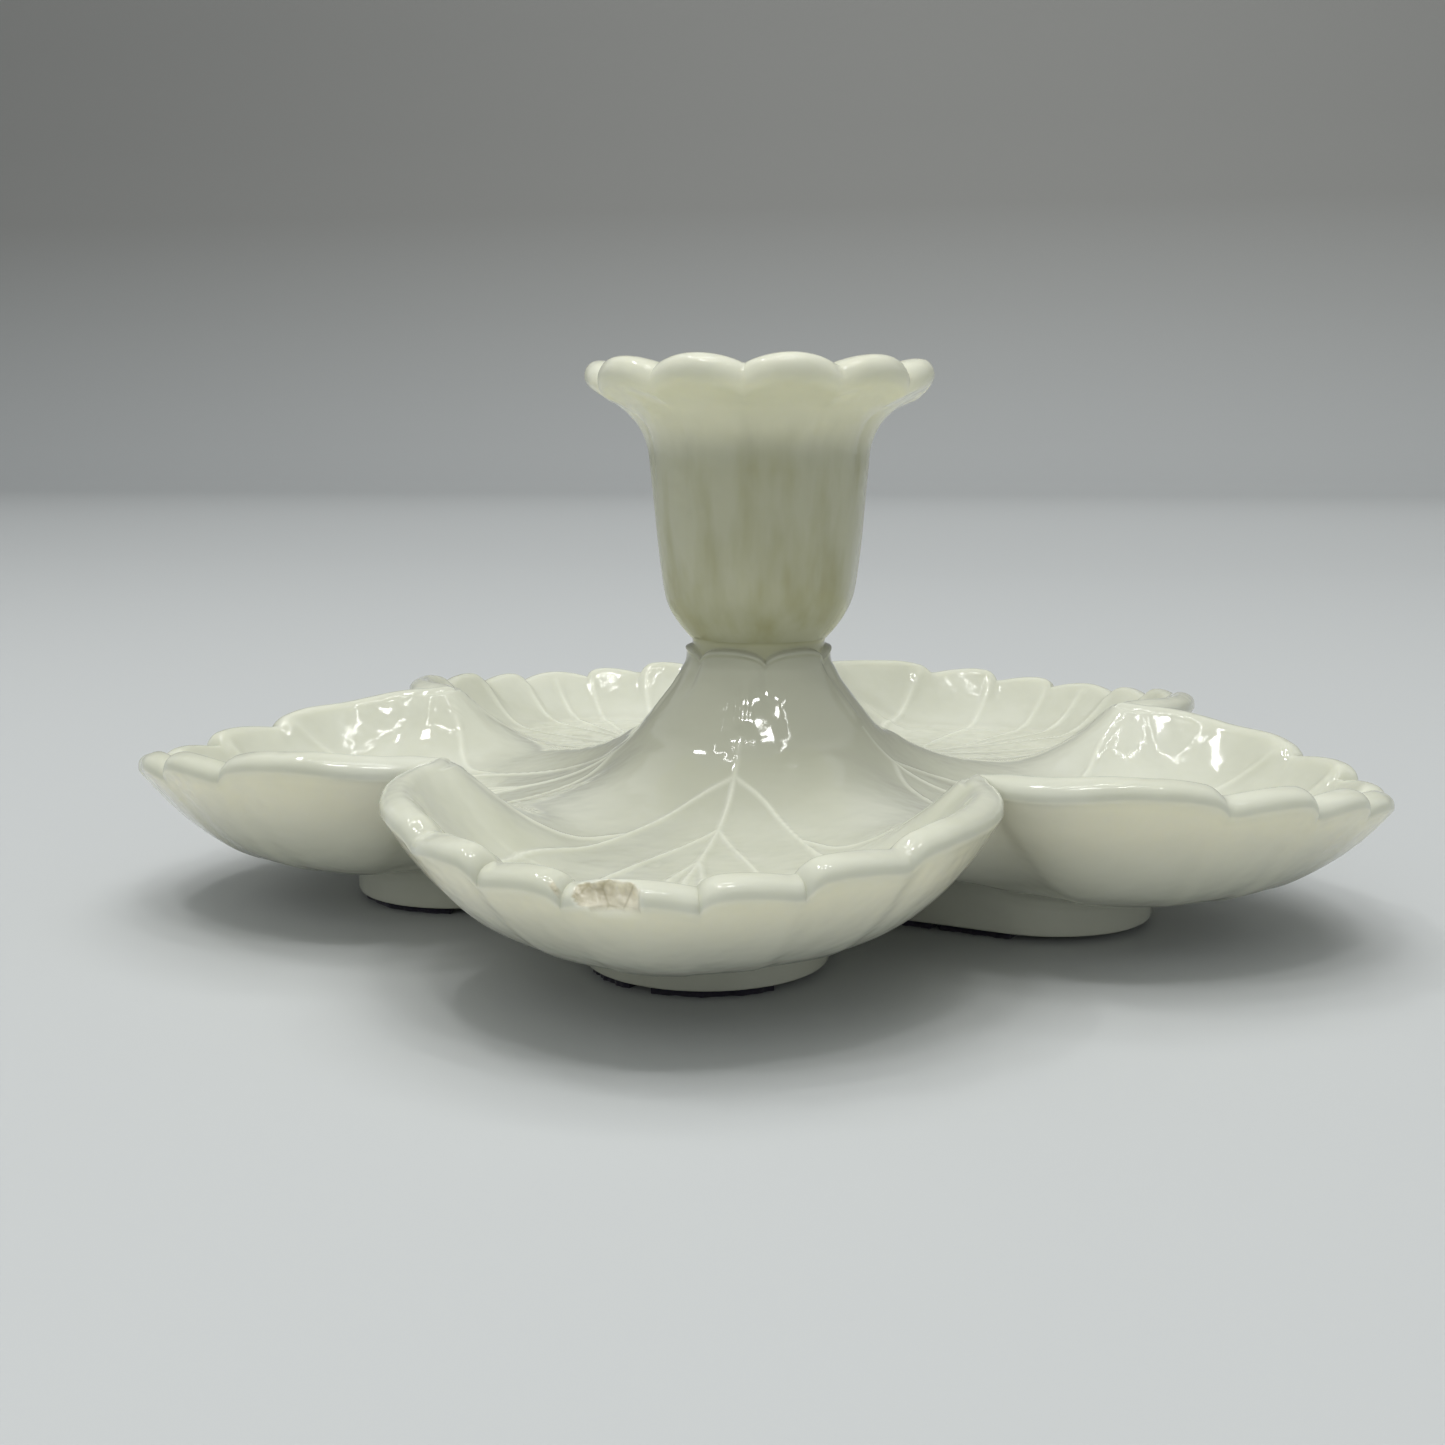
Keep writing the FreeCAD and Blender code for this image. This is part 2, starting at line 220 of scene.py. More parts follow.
def place_vertices(piece, points_mm):
    piece.data.vertices.foreach_set("co", (np.asarray(points_mm) * MM).ravel())
    piece.data.update()


def mark_vertices(piece, name, values):
    """Stores a value for each point, for the material to read."""
    mark = piece.data.attributes.new(name, "FLOAT", "POINT")
    mark.data.foreach_set("value", values)


def add_grid(name, columns, rows):
    """A flat grid with its column and row numbers, ready to be shaped."""
    bpy.ops.object.select_all(action="DESELECT")
    bpy.ops.mesh.primitive_grid_add(x_subdivisions=columns - 1, y_subdivisions=rows - 1, size=1.0)
    piece = bpy.context.object
    piece.name = name
    piece.data.name = name
    place = read_vertices(piece)
    column = np.rint((place[:, 0] + 0.5) * (columns - 1)).astype(int)
    row = np.rint((place[:, 1] + 0.5) * (rows - 1)).astype(int)
    return piece, column, row


def close_and_smooth(piece, degrees):
    """Fills the open ends, turns every face outwards and smooths all but the sharp edges."""
    bpy.ops.object.select_all(action="DESELECT")
    piece.select_set(True)
    bpy.context.view_layer.objects.active = piece
    bpy.ops.object.mode_set(mode="EDIT")
    bpy.ops.mesh.select_all(action="SELECT")
    bpy.ops.mesh.fill_holes(sides=0)
    bpy.ops.mesh.select_all(action="SELECT")
    bpy.ops.mesh.normals_make_consistent(inside=False)
    bpy.ops.object.mode_set(mode="OBJECT")
    bpy.ops.object.shade_smooth_by_angle(angle=math.radians(degrees))


def finish_piece(piece, node, material):
    piece.data.materials.clear()
    piece.data.materials.append(material)
    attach(piece, "root")
    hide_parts(node)


# Columns of the mesh run from the stem to the lip; one falls on every notch between lobes.
stops = [-HALF] + [-n for n in reversed(LOBE_NOTCHES)] + LOBE_NOTCHES + [HALF]
stop_lengths = np.interp(stops, rim_degrees, rim_length)
column_lengths = [0.0]
for low, high in zip(stop_lengths, stop_lengths[1:]):
    count = round((LEAF_COLUMNS - 1) * (high - low) / rim_length[-1])
    column_lengths += list(np.linspace(low, high, count + 1)[1:])
column_lengths = np.array(column_lengths)
columns = len(column_lengths)
column_degrees = np.interp(column_lengths, rim_length, rim_degrees)
edge = edge_point(column_degrees)
along = np.gradient(rim_points, axis=0)
along = np.stack([np.interp(column_lengths, rim_length, along[:, k]) for k in range(2)], -1)
outwards = np.stack([along[:, 1], -along[:, 0]], -1)
outwards /= np.hypot(outwards[:, 0], outwards[:, 1])[:, None]
corner = smooth(np.minimum(column_lengths, rim_length[-1] - column_lengths), 0.0, 3.0)[:, None]
radial = edge / np.hypot(edge[:, 0], edge[:, 1])[:, None]
outwards = outwards * corner + radial * (1.0 - corner)
outwards /= np.hypot(outwards[:, 0], outwards[:, 1])[:, None]
column_heights = edge_height(column_degrees)
edge = edge - outwards * (LOBE_DEPTH * (1.0 - lobe_height(column_degrees)))[:, None]
stem_angle = np.radians(np.linspace(-HALF, HALF, columns))
stem_edge = STEM_R * np.stack([np.cos(stem_angle), np.sin(stem_angle)], -1)

top_end = edge - outwards * LIP_LINE[0][0]
drift = column_heights + LIP_LINE[0][1] - leaf_top(top_end)[0]
sections = []
vein_marks = []
for share in np.linspace(0.0, 1.0, TOP_ROWS):
    plan = stem_edge + (top_end - stem_edge) * share
    height, line = leaf_top(plan)
    sections.append(np.column_stack([plan, height + drift * smooth(share, 0.85, 1.0)]))
    vein_marks.append(line)
for inset, rise in spline(LIP_LINE, 3)[1:]:
    sections.append(np.column_stack([edge - outwards * inset, column_heights + rise]))
    vein_marks.append(np.zeros(columns))
drift = column_heights + LIP_LINE[-1][1] - leaf_under(edge)
for share in np.linspace(0.0, 1.0, UNDER_ROWS + 1)[1:]:
    share = share ** 1.25
    plan = edge + (stem_edge - edge) * share
    sections.append(np.column_stack([plan, leaf_under(plan) + drift * (1.0 - smooth(share, 0.0, 0.12))]))
    vein_marks.append(np.zeros(columns))
leaf_shape = np.array(sections)

plain_leaf, leaf_column, leaf_row = add_grid("leaf_glass", columns, len(leaf_shape))
leaf_place = leaf_shape[leaf_row, leaf_column]
place_vertices(plain_leaf, leaf_place)
leaf_r = np.hypot(leaf_place[:, 0], leaf_place[:, 1])
leaf_degrees = np.degrees(np.arctan2(leaf_place[:, 1], leaf_place[:, 0]))
from_seam = leaf_r * np.sin(np.radians(np.maximum(HALF - np.abs(leaf_degrees), 0.0)))
outer_row = len(leaf_shape) - 1 - UNDER_ROWS
# Painted glow: the outer wall is painted paler higher up, for light shining through the thin glass.
painted_glow = smooth(leaf_row, outer_row - 3, outer_row + 2) * smooth(leaf_place[:, 2], 8.5, 20.0)
mark_vertices(plain_leaf, "vein", np.array(vein_marks)[leaf_row, leaf_column])
mark_vertices(plain_leaf, "painted_glow", painted_glow)
mark_vertices(plain_leaf, "milky", LEAF_MILK * smooth(leaf_r, 20.0, 32.0) * smooth(from_seam, 1.5, 9.0))
# The stem ends of the upper face and the underside are joined by a bridge.
bpy.ops.object.mode_set(mode="EDIT")
bpy.ops.mesh.select_all(action="DESELECT")
bpy.ops.object.mode_set(mode="OBJECT")
end_row = (leaf_row == 0) | (leaf_row == len(leaf_shape) - 1)
for item in plain_leaf.data.edges:
    if end_row[item.vertices[0]] and end_row[item.vertices[1]]:
        item.select = True
bpy.ops.object.mode_set(mode="EDIT")
bpy.ops.mesh.select_mode(type="EDGE")
bpy.ops.mesh.bridge_edge_loops()
bpy.ops.object.mode_set(mode="OBJECT")
close_and_smooth(plain_leaf, 50.0)


def feed(material, source, socket):
    """Sets a socket to a plain value, or links another socket to it."""
    if isinstance(source, bpy.types.NodeSocket):
        material.node_tree.links.new(source, socket)
    else:
        socket.default_value = source


def add_noise(material, place, scale, detail):
    noise = material.node_tree.nodes.new("ShaderNodeTexNoise")
    noise.inputs["Scale"].default_value = scale
    noise.inputs["Detail"].default_value = detail
    feed(material, place, noise.inputs["Vector"])
    return noise


def add_ramp(material, factor, stops):
    """A colour ramp with two or more stops of (position, colour)."""
    ramp = material.node_tree.nodes.new("ShaderNodeValToRGB")
    while len(ramp.color_ramp.elements) < len(stops):
        ramp.color_ramp.elements.new(1.0)
    for element, (position, colour) in zip(ramp.color_ramp.elements, stops):
        element.position = position
        element.color = (*colour, 1.0)
    feed(material, factor, ramp.inputs["Fac"])
    return ramp


def add_range(material, value, taken, given):
    """Turns values from one range into another, and holds them at its ends."""
    scale = material.node_tree.nodes.new("ShaderNodeMapRange")
    scale.inputs["From Min"].default_value = taken[0]
    scale.inputs["From Max"].default_value = taken[1]
    scale.inputs["To Min"].default_value = given[0]
    scale.inputs["To Max"].default_value = given[1]
    feed(material, value, scale.inputs["Value"])
    return scale


def add_bump(material, height, distance, strength):
    """Bump over whatever relief the shader already has."""
    shader = material.node_tree.nodes["Principled BSDF"]
    bump = material.node_tree.nodes.new("ShaderNodeBump")
    bump.inputs["Distance"].default_value = distance
    feed(material, strength, bump.inputs["Strength"])
    feed(material, height, bump.inputs["Height"])
    for link in shader.inputs["Normal"].links[:]:
        feed(material, link.from_socket, bump.inputs["Normal"])
    feed(material, bump.outputs["Normal"], shader.inputs["Normal"])


def read_mark(material, name):
    mark = material.node_tree.nodes.new("ShaderNodeAttribute")
    mark.attribute_name = name
    return mark.outputs["Fac"]


def object_place(material):
    return material.node_tree.nodes.new("ShaderNodeTexCoord").outputs["Object"]


def lay_over(material, factor, colour):
    """Lays a colour over the one that the shader has so far, as thickly as factor says."""
    shader = material.node_tree.nodes["Principled BSDF"]
    mix = material.node_tree.nodes.new("ShaderNodeMix")
    mix.data_type = "RGBA"
    feed(material, factor, mix.inputs["Factor"])
    feed(material, shader.inputs["Base Color"].links[0].from_socket, mix.inputs["A"])
    feed(material, colour if isinstance(colour, bpy.types.NodeSocket) else (*colour, 1.0), mix.inputs["B"])
    feed(material, mix.outputs["Result"], shader.inputs["Base Color"])


def opal_glass(name):
    """Milky pressed glass: glossy and faintly wavy, with clouds in it."""
    material = bpy.data.materials.new(name)
    material.use_nodes = True
    shader = material.node_tree.nodes["Principled BSDF"]
    shader.inputs["IOR"].default_value = 1.52
    shader.inputs["Subsurface Scale"].default_value = 0.004
    shader.inputs["Subsurface Radius"].default_value = (1.0, 0.97, 0.82)
    place = object_place(material)
    cloud = add_noise(material, place, 38.0, 4.0)
    cloud.inputs["Roughness"].default_value = 0.55
    milk = add_ramp(material, cloud.outputs["Fac"],
                    [(0.30, (0.495, 0.503, 0.402)), (0.72, (0.585, 0.594, 0.500))])
    smear = add_range(material, cloud.outputs["Fac"], (0.3, 0.7), (0.05, 0.11))
    wave = add_noise(material, place, 160.0, 2.0)
    feed(material, milk.outputs["Color"], shader.inputs["Base Color"])
    feed(material, smear.outputs["Result"], shader.inputs["Roughness"])
    add_bump(material, wave.outputs["Fac"], 0.0009, 0.35)
    return material


def paint_core_shade(material):
    """The glass is thickest round the axis; it is painted deeper in tone there, as painted shade under the
    cup and between the leaves.
    """
    flat = material.node_tree.nodes.new("ShaderNodeVectorMath")
    flat.operation = "MULTIPLY"
    flat.inputs[1].default_value = (1.0, 1.0, 0.0)
    feed(material, object_place(material), flat.inputs[0])
    reach = material.node_tree.nodes.new("ShaderNodeVectorMath")
    reach.operation = "LENGTH"
    feed(material, flat.outputs["Vector"], reach.inputs[0])
    core_shade = add_range(material, reach.outputs["Value"], (0.013, 0.040), (1.0, 0.0))
    core_shade.interpolation_type = "SMOOTHSTEP"
    lay_over(material, core_shade.outputs["Result"], (0.370, 0.375, 0.290))


def leaf_glass(name):
    """Opal glass of a leaf: painted shade near the stem, an outer wall painted paler as painted glow of
    light through the thin glass, and paler veins.
    """
    material = opal_glass(name)
    paint_core_shade(material)
    shader = material.node_tree.nodes["Principled BSDF"]
    feed(material, read_mark(material, "milky"), shader.inputs["Subsurface Weight"])
    # Painted glow: the outer wall is painted paler, for light shining through it.
    lay_over(material, read_mark(material, "painted_glow"), (0.84, 0.82, 0.66))
    lay_over(material, read_mark(material, "vein"), (0.71, 0.72, 0.61))
    return material


def roughen_chip(material):
    """Makes the broken face duller and rougher, with the lines of its facets."""
    shader = material.node_tree.nodes["Principled BSDF"]
    chip = read_mark(material, "chip")
    place = object_place(material)
    grain = add_noise(material, place, 260.0, 3.0)
    break_tint = add_ramp(material, grain.outputs["Fac"],
                          [(0.36, (0.40, 0.37, 0.26)), (0.62, (0.64, 0.61, 0.48))])
    facets = material.node_tree.nodes.new("ShaderNodeTexVoronoi")
    facets.feature = "DISTANCE_TO_EDGE"
    facets.inputs["Scale"].default_value = 380.0
    feed(material, place, facets.inputs["Vector"])
    crack = add_range(material, facets.outputs["Distance"], (0.0, 0.07), (0.4, 0.0))
    lined = material.node_tree.nodes.new("ShaderNodeMix")
    lined.data_type = "RGBA"
    feed(material, crack.outputs["Result"], lined.inputs["Factor"])
    feed(material, break_tint.outputs["Color"], lined.inputs["A"])
    lined.inputs["B"].default_value = (0.27, 0.24, 0.14, 1.0)
    lay_over(material, chip, lined.outputs["Result"])
    rough = material.node_tree.nodes.new("ShaderNodeMix")
    feed(material, chip, rough.inputs["Factor"])
    feed(material, shader.inputs["Roughness"].links[0].from_socket, rough.inputs["A"])
    rough.inputs["B"].default_value = 0.28
    feed(material, rough.outputs["Result"], shader.inputs["Roughness"])
    add_bump(material, grain.outputs["Fac"], 0.0016, chip)


def chip_the_tip(piece):
    """Breaks a flake off the lip at the leaf's tip and marks the rough face that it left."""
    place = read_vertices(piece) / MM
    across = np.clip(1.0 - ((place[:, 1] - CHIP_B) / CHIP_HALF_WIDTH) ** 2, 0.0, 1.0) ** 0.5
    ripple = 0.25 * np.sin(place[:, 1] * 2.3 + 0.6) + 0.15 * np.sin(place[:, 1] * 5.1 + place[:, 2] * 2.0)
    slant = smooth(place[:, 2], CHIP_LOW_Z, CHIP_HIGH_Z)
    face = TIP_R - (CHIP_DEPTH + ripple) * across * slant
    cut = np.where((across > 0.0) & (place[:, 0] > face) & (slant > 0.0), 1.0, 0.0)
    mark_vertices(piece, "chip", cut * smooth(slant * across, 0.0, 0.08))
    place[:, 0] = place[:, 0] * (1.0 - cut) + face * cut
    place_vertices(piece, place)


def lean_the_rims(piece, rise):
    """One rim of a side leaf stands a little higher and the other lower, as the hot glass settled."""
    place = read_vertices(piece) / MM
    r = np.hypot(place[:, 0], place[:, 1])
    degrees = np.degrees(np.arctan2(place[:, 1], place[:, 0]))
    side = np.tanh(degrees / 6.0) * (1.0 - smooth(np.abs(degrees), 27.0, HALF))
    place[:, 2] += rise * side * smooth(r, 38.0, 64.0) * smooth(place[:, 2], 9.0, 18.0)
    place_vertices(piece, place)


whole_glass = leaf_glass("opal_glass_leaf")
chipped_glass = leaf_glass("opal_glass_chipped_leaf")
roughen_chip(chipped_glass)
for number, name in enumerate(LEAVES):
    leaf = plain_leaf.copy()
    leaf.data = plain_leaf.data.copy()
    leaf.name = "leaf_" + name + "_glass"
    leaf.data.name = leaf.name
    bpy.context.scene.collection.objects.link(leaf)
    if name == "front":
        chip_the_tip(leaf)
    if name in LEAN:
        lean_the_rims(leaf, LEAN[name])
    leaf.data.transform(Matrix.Rotation(math.radians(FRONT_DEGREES + number * SECTOR), 4, "Z"))
    finish_piece(leaf, "leaf_" + name, chipped_glass if name == "front" else whole_glass)
bpy.data.objects.remove(plain_leaf)


# ---- The stem --------------------------------------------------------------------------------------
# The low flared stem where the five leaves run together, of the same pressing.
# Each leaf's midrib climbs it as a narrow band, and shallow grooves run down it from the sepals.

STEM_TOP_R, STEM_TOP_Z = 11.7, 33.2
STEM_EDGE_Z = 25.2
STEM_UNDER_Z, STEM_DOME_Z = 9.0, 12.0
SEPALS = 6
SEPAL_STEP = 360.0 / SEPALS
SEPAL_TURN = 13.7                 # degrees from the front midrib to a notch between sepals
GROOVE_DEPTH, GROOVE_HALF_ANGLE = 0.45, 5.0
BAND_HEIGHT, BAND_HALF_WIDTH = 0.25, 0.9


def even_profile(runs, step):
    """Points about a step apart along each smooth run of a profile; a run of two points is straight."""
    points = [np.array([runs[0][0]], float)]
    for run in runs:
        line = spline(run, 24) if len(run) > 2 else np.array(run, float)
        length = np.concatenate([[0.0], np.cumsum(np.hypot(*np.diff(line, axis=0).T))])
        at = np.linspace(0.0, length[-1], max(3, round(length[-1] / step) + 1))[1:]
        points.append(np.stack([np.interp(at, length, line[:, k]) for k in range(2)], -1))
    return np.concatenate(points)


def add_turned(name, profile, segments, shape):
    """A ball reshaped to a turned piece: profile runs from axis to axis, shape bends it round the axis."""
    rings = len(profile) - 1
    bpy.ops.object.select_all(action="DESELECT")
    bpy.ops.mesh.primitive_uv_sphere_add(segments=segments, ring_count=rings, radius=1.0)
    piece = bpy.context.object
    piece.name = name
    piece.data.name = name
    place = read_vertices(piece)
    step = np.rint(np.arccos(np.clip(-place[:, 2], -1.0, 1.0)) / math.pi * rings).astype(int)
    around = np.arctan2(place[:, 1], place[:, 0])
    r, z = shape(profile[step, 0].copy(), profile[step, 1].copy(), around)
    place_vertices(piece, np.column_stack([r * np.cos(around), r * np.sin(around), z]))
    return piece


def sepal_groove(around):
    """1 on the lines that run down from the notches between sepals."""
    degrees = (np.degrees(around) - FRONT_DEGREES - SEPAL_TURN) % SEPAL_STEP
    side = np.minimum(degrees, SEPAL_STEP - degrees)
    return np.exp(-(side / GROOVE_HALF_ANGLE) ** 2)


def stem_shape(r, z, around):
    from_midrib = (np.degrees(around) - FRONT_DEGREES + HALF) % SECTOR - HALF
    side = r * np.sin(np.radians(from_midrib))
    flank = smooth(z, STEM_EDGE_Z + 0.1, 27.5) * (z < STEM_TOP_Z + 0.1) * (r > 11.0)
    band = BAND_HEIGHT * np.exp(-(side / BAND_HALF_WIDTH) ** 4) * (1.0 - smooth(z, 31.5, 33.0))
    groove = GROOVE_DEPTH * sepal_groove(around) * smooth(z, 26.5, STEM_TOP_Z)
    return r + (band - groove) * flank, z


stem_runs = [
    [(0.0, STEM_DOME_Z), (STEM_R * 0.6, STEM_DOME_Z - 0.9), (STEM_R, STEM_UNDER_Z)],
    [(STEM_R, STEM_UNDER_Z), (STEM_R, STEM_EDGE_Z)],
    [(STEM_R, STEM_EDGE_Z), (15.2, 28.0), (12.9, 31.0), (STEM_TOP_R, STEM_TOP_Z)],
    [(STEM_TOP_R, STEM_TOP_Z), (0.0, STEM_TOP_Z)],
]
stem = add_turned("stem_glass", even_profile(stem_runs, 0.35), 240, stem_shape)
close_and_smooth(stem, 28.0)
stem_glass = opal_glass("opal_glass_stem")
# Painted shade: the stem is painted deeper in tone near the axis.
paint_core_shade(stem_glass)
finish_piece(stem, "stem", stem_glass)


# ---- The sepal collar ------------------------------------------------------------------------------
# A ring of six round-topped sepals in relief round the neck, between the stem and the cup.
# It is part of the same pressing; a fine raised line follows each sepal's edge.

SEPAL_R, NECK_R = 11.0, 10.1
SEPAL_NOTCH_Z, SEPAL_RISE = 34.7, 2.0
NECK_TOP_R, NECK_TOP_Z, NECK_FLARE_Z = 10.45, 37.9, 37.2


def sepal_crown(around):
    """Height of the sepals' top edge."""
    degrees = np.degrees(around) - FRONT_DEGREES - SEPAL_TURN
    side = (degrees % SEPAL_STEP - SEPAL_STEP / 2.0) / (SEPAL_STEP / 2.0)
    return SEPAL_NOTCH_Z + SEPAL_RISE * np.sqrt(np.clip(1.0 - np.abs(side) ** 2.2, 0.0, 1.0))


def collar_shape(r, z, around):
    crown = sepal_crown(around)
    above = smooth(z, crown - 0.2, crown + 0.3)
    line = 0.20 * np.exp(-((crown - z - 0.5) / 0.28) ** 2)
    sepal = r + line - GROOVE_DEPTH * sepal_groove(around)
    neck = NECK_R + np.maximum(z - NECK_FLARE_Z, 0.0) ** 2 * 0.5
    on_wall = (r > NECK_R) & (z > STEM_TOP_Z - 0.01)
    return np.where(on_wall, sepal * (1.0 - above) + neck * above, r), z


collar_runs = [
    [(0.0, STEM_TOP_Z), (STEM_TOP_R, STEM_TOP_Z)],
    [(STEM_TOP_R, STEM_TOP_Z), (11.2, 34.15), (SEPAL_R, 35.4), (SEPAL_R, 36.6), (SEPAL_R, NECK_TOP_Z)],
    [(SEPAL_R, NECK_TOP_Z), (0.0, NECK_TOP_Z)],
]
collar = add_turned("sepal_collar_glass", even_profile(collar_runs, 0.16), 360, collar_shape)
close_and_smooth(collar, 40.0)
# Painted shade: the neck above the sepals is marked and painted darker, as shade under the cup.
place = read_vertices(collar) / MM
crown = sepal_crown(np.arctan2(place[:, 1], place[:, 0]))
mark_vertices(collar, "neck", smooth(place[:, 2], crown - 0.1, crown + 0.5))
collar_glass = opal_glass("opal_glass_collar")
paint_core_shade(collar_glass)
lay_over(collar_glass, read_mark(collar_glass, "neck"), (0.37, 0.37, 0.24))
finish_piece(collar, "sepal_collar", collar_glass)


# ---- The candle cup --------------------------------------------------------------------------------
# A tulip-shaped cup, of the same pressing, with a straight socket for a 22 mm candle.
# Its rolled rim flares into eleven petals; a fold runs down the outside from each valley between two.

PETALS = 11
PETAL_TURN = 3.0                  # degrees from the front midrib to the first valley
SOCKET_R, SOCKET_FLOOR_Z, SOCKET_MOUTH_Z = 11.0, 47.0, 70.0
VALLEY_DEPTH, VALLEY_CUT, FOLD_DEPTH, PANEL_SWELL = 1.7, 1.5, 0.6, 0.12
CUP_MILK = 0.5


def cup_shape(r, z, around):
    turn = PETALS * (around - math.radians(FRONT_DEGREES + PETAL_TURN))
    valley = 1.0 - np.abs(np.sin(turn / 2.0)) ** 0.75
    outside = r > SOCKET_R + 0.4
    rim = smooth(r, 15.0, 25.0) * smooth(z, 66.0, 77.0) * outside
    fold = smooth(z, 50.0, 72.0) * (r > 13.0) * (r < 24.0) * (z < 75.0)
    body = smooth(z, 40.0, 46.0) * (1.0 - smooth(z, 62.0, 70.0)) * (r > 13.0)
    r = r - valley * VALLEY_CUT * rim - FOLD_DEPTH * valley * fold * (1.0 - rim)
    r = r + PANEL_SWELL * np.cos(turn) * body
    z = z - valley * VALLEY_DEPTH * rim
    return r, z


def cup_glass():
    """Opal glass of the cup: a flare painted paler, as painted glow of light through the thin glass, over a
    body painted deeper in streaks, as painted shade of the hollow socket inside.
    """
    material = opal_glass("opal_glass_cup")
    nodes = material.node_tree.nodes
    shader = nodes["Principled BSDF"]
    place = object_place(material)
    level = nodes.new("ShaderNodeSeparateXYZ")
    feed(material, place, level.inputs["Vector"])
    milky = add_range(material, level.outputs["Z"], (0.038, 0.048), (0.0, CUP_MILK))
    feed(material, milky.outputs["Result"], shader.inputs["Subsurface Weight"])
    # Painted glow: the thin flare is painted paler, for light shining through it.
    flare = add_range(material, level.outputs["Z"], (0.060, 0.080), (0.0, 1.0))
    painted_flare_glow = add_ramp(material, flare.outputs["Result"],
                           [(0.22, (0.0, 0.0, 0.0)), (0.48, (0.9, 0.9, 0.9)), (0.70, (0.9, 0.9, 0.9)),
                            (0.86, (0.25, 0.25, 0.25))])
    painted_flare_glow.color_ramp.interpolation = "EASE"
    lay_over(material, painted_flare_glow.outputs["Color"], (0.80, 0.79, 0.63))
    # Painted shade: the body below the flare is painted darker in streaks, fading out towards the top.
    stretch = nodes.new("ShaderNodeMapping")
    stretch.inputs["Scale"].default_value = (170.0, 170.0, 45.0)
    stretch.inputs["Rotation"].default_value = (0.18, -0.12, 0.0)
    feed(material, place, stretch.inputs["Vector"])
    streak = add_noise(material, stretch.outputs["Vector"], 1.0, 3.0)
    painted_shade_depth = add_range(material, streak.outputs["Fac"], (0.45, 0.70), (0.50, 1.0))
    thick = add_range(material, level.outputs["Z"], (0.063, 0.0715), (1.0, 0.0))
    share = nodes.new("ShaderNodeMath")
    share.operation = "MULTIPLY"
    feed(material, painted_shade_depth.outputs["Result"], share.inputs[0])
    feed(material, thick.outputs["Result"], share.inputs[1])
    lay_over(material, share.outputs["Value"], (0.36, 0.355, 0.215))
    return material


cup_runs = [
    [(0.0, NECK_TOP_Z), (NECK_TOP_R, NECK_TOP_Z)],
    [(NECK_TOP_R, NECK_TOP_Z), (12.0, 39.7), (13.6, 42.2), (14.5, 45.0), (15.3, 51.0), (15.9, 57.0),
     (16.5, 63.0), (16.9, 66.6), (18.2, 69.6), (20.5, 72.0), (23.2, 73.8), (25.4, 75.2), (26.1, 77.0),
     (25.1, 78.7), (22.8, 79.0), (20.0, 78.1), (16.2, 76.0), (12.6, 73.0), (SOCKET_R, SOCKET_MOUTH_Z)],
    [(SOCKET_R, SOCKET_MOUTH_Z), (SOCKET_R, SOCKET_FLOOR_Z)],
    [(SOCKET_R, SOCKET_FLOOR_Z), (0.0, SOCKET_FLOOR_Z)],
]
cup = add_turned("candle_cup_glass", even_profile(cup_runs, 0.55), PETALS * 28, cup_shape)
close_and_smooth(cup, 32.0)
finish_piece(cup, "candle_cup", cup_glass())


# ---- The foot ring ---------------------------------------------------------------------------------
# The low ring of glass that the candlestick stands on, again part of the pressing.
# It has one round-ended lobe under each leaf and is left hollow inside, with fire-polished edges.

FELT_T = 0.9                      # the ring stands this high, on its felt strips
FOOT_CENTRE, FOOT_R, FOOT_WIDTH = 45.0, 16.0, 5.5
FOOT_CORNER = 7.0                 # rounding in the corners between lobes, at mid width
FOOT_SINK = 0.15                  # how far its top runs into the leaves above
FOOT_ROUND, FOOT_FLARE = 0.7, 1.1  # rounding of the lower edges, and spread at the leaves


def direction(degrees):
    """Plan vector of length 1 at an angle from +X."""
    return np.array([math.cos(math.radians(degrees)), math.sin(math.radians(degrees))])


def foot_path():
    """Middle line of the ring for one lobe, along +X, with the way outwards at each point."""
    half = FOOT_R - FOOT_WIDTH / 2.0
    reach = (half + FOOT_CORNER) / math.sin(math.radians(HALF))
    corner = np.array([reach * math.cos(math.radians(HALF)), half + FOOT_CORNER])
    points = []
    normals = []
    for degrees in np.linspace(HALF - 180.0, -90.0, 12):
        points.append(corner + FOOT_CORNER * direction(degrees))
        normals.append(-direction(degrees))
    for x in np.linspace(corner[0], FOOT_CENTRE, 12)[1:-1]:
        points.append(np.array([x, half]))
        normals.append(np.array([0.0, 1.0]))
    for degrees in np.linspace(90.0, 0.0, 28):
        points.append(np.array([FOOT_CENTRE, 0.0]) + half * direction(degrees))
        normals.append(direction(degrees))
    upper = np.array(points)
    upper_way = np.array(normals)
    flip = np.array([1.0, -1.0])
    path = np.concatenate([(upper * flip), upper[::-1][1:]])
    ways = np.concatenate([(upper_way * flip), upper_way[::-1][1:]])
    return path[:-1], ways[:-1]


lobe_path, lobe_ways = foot_path()
ring_path = []
ring_ways = []
for number in range(len(LEAVES)):
    angle = math.radians(FRONT_DEGREES + number * SECTOR)
    turn = np.array([[math.cos(angle), math.sin(angle)], [-math.sin(angle), math.cos(angle)]])
    ring_path.append(lobe_path @ turn)
    ring_ways.append(lobe_ways @ turn)
ring_path = np.concatenate(ring_path)
ring_ways = np.concatenate(ring_ways)
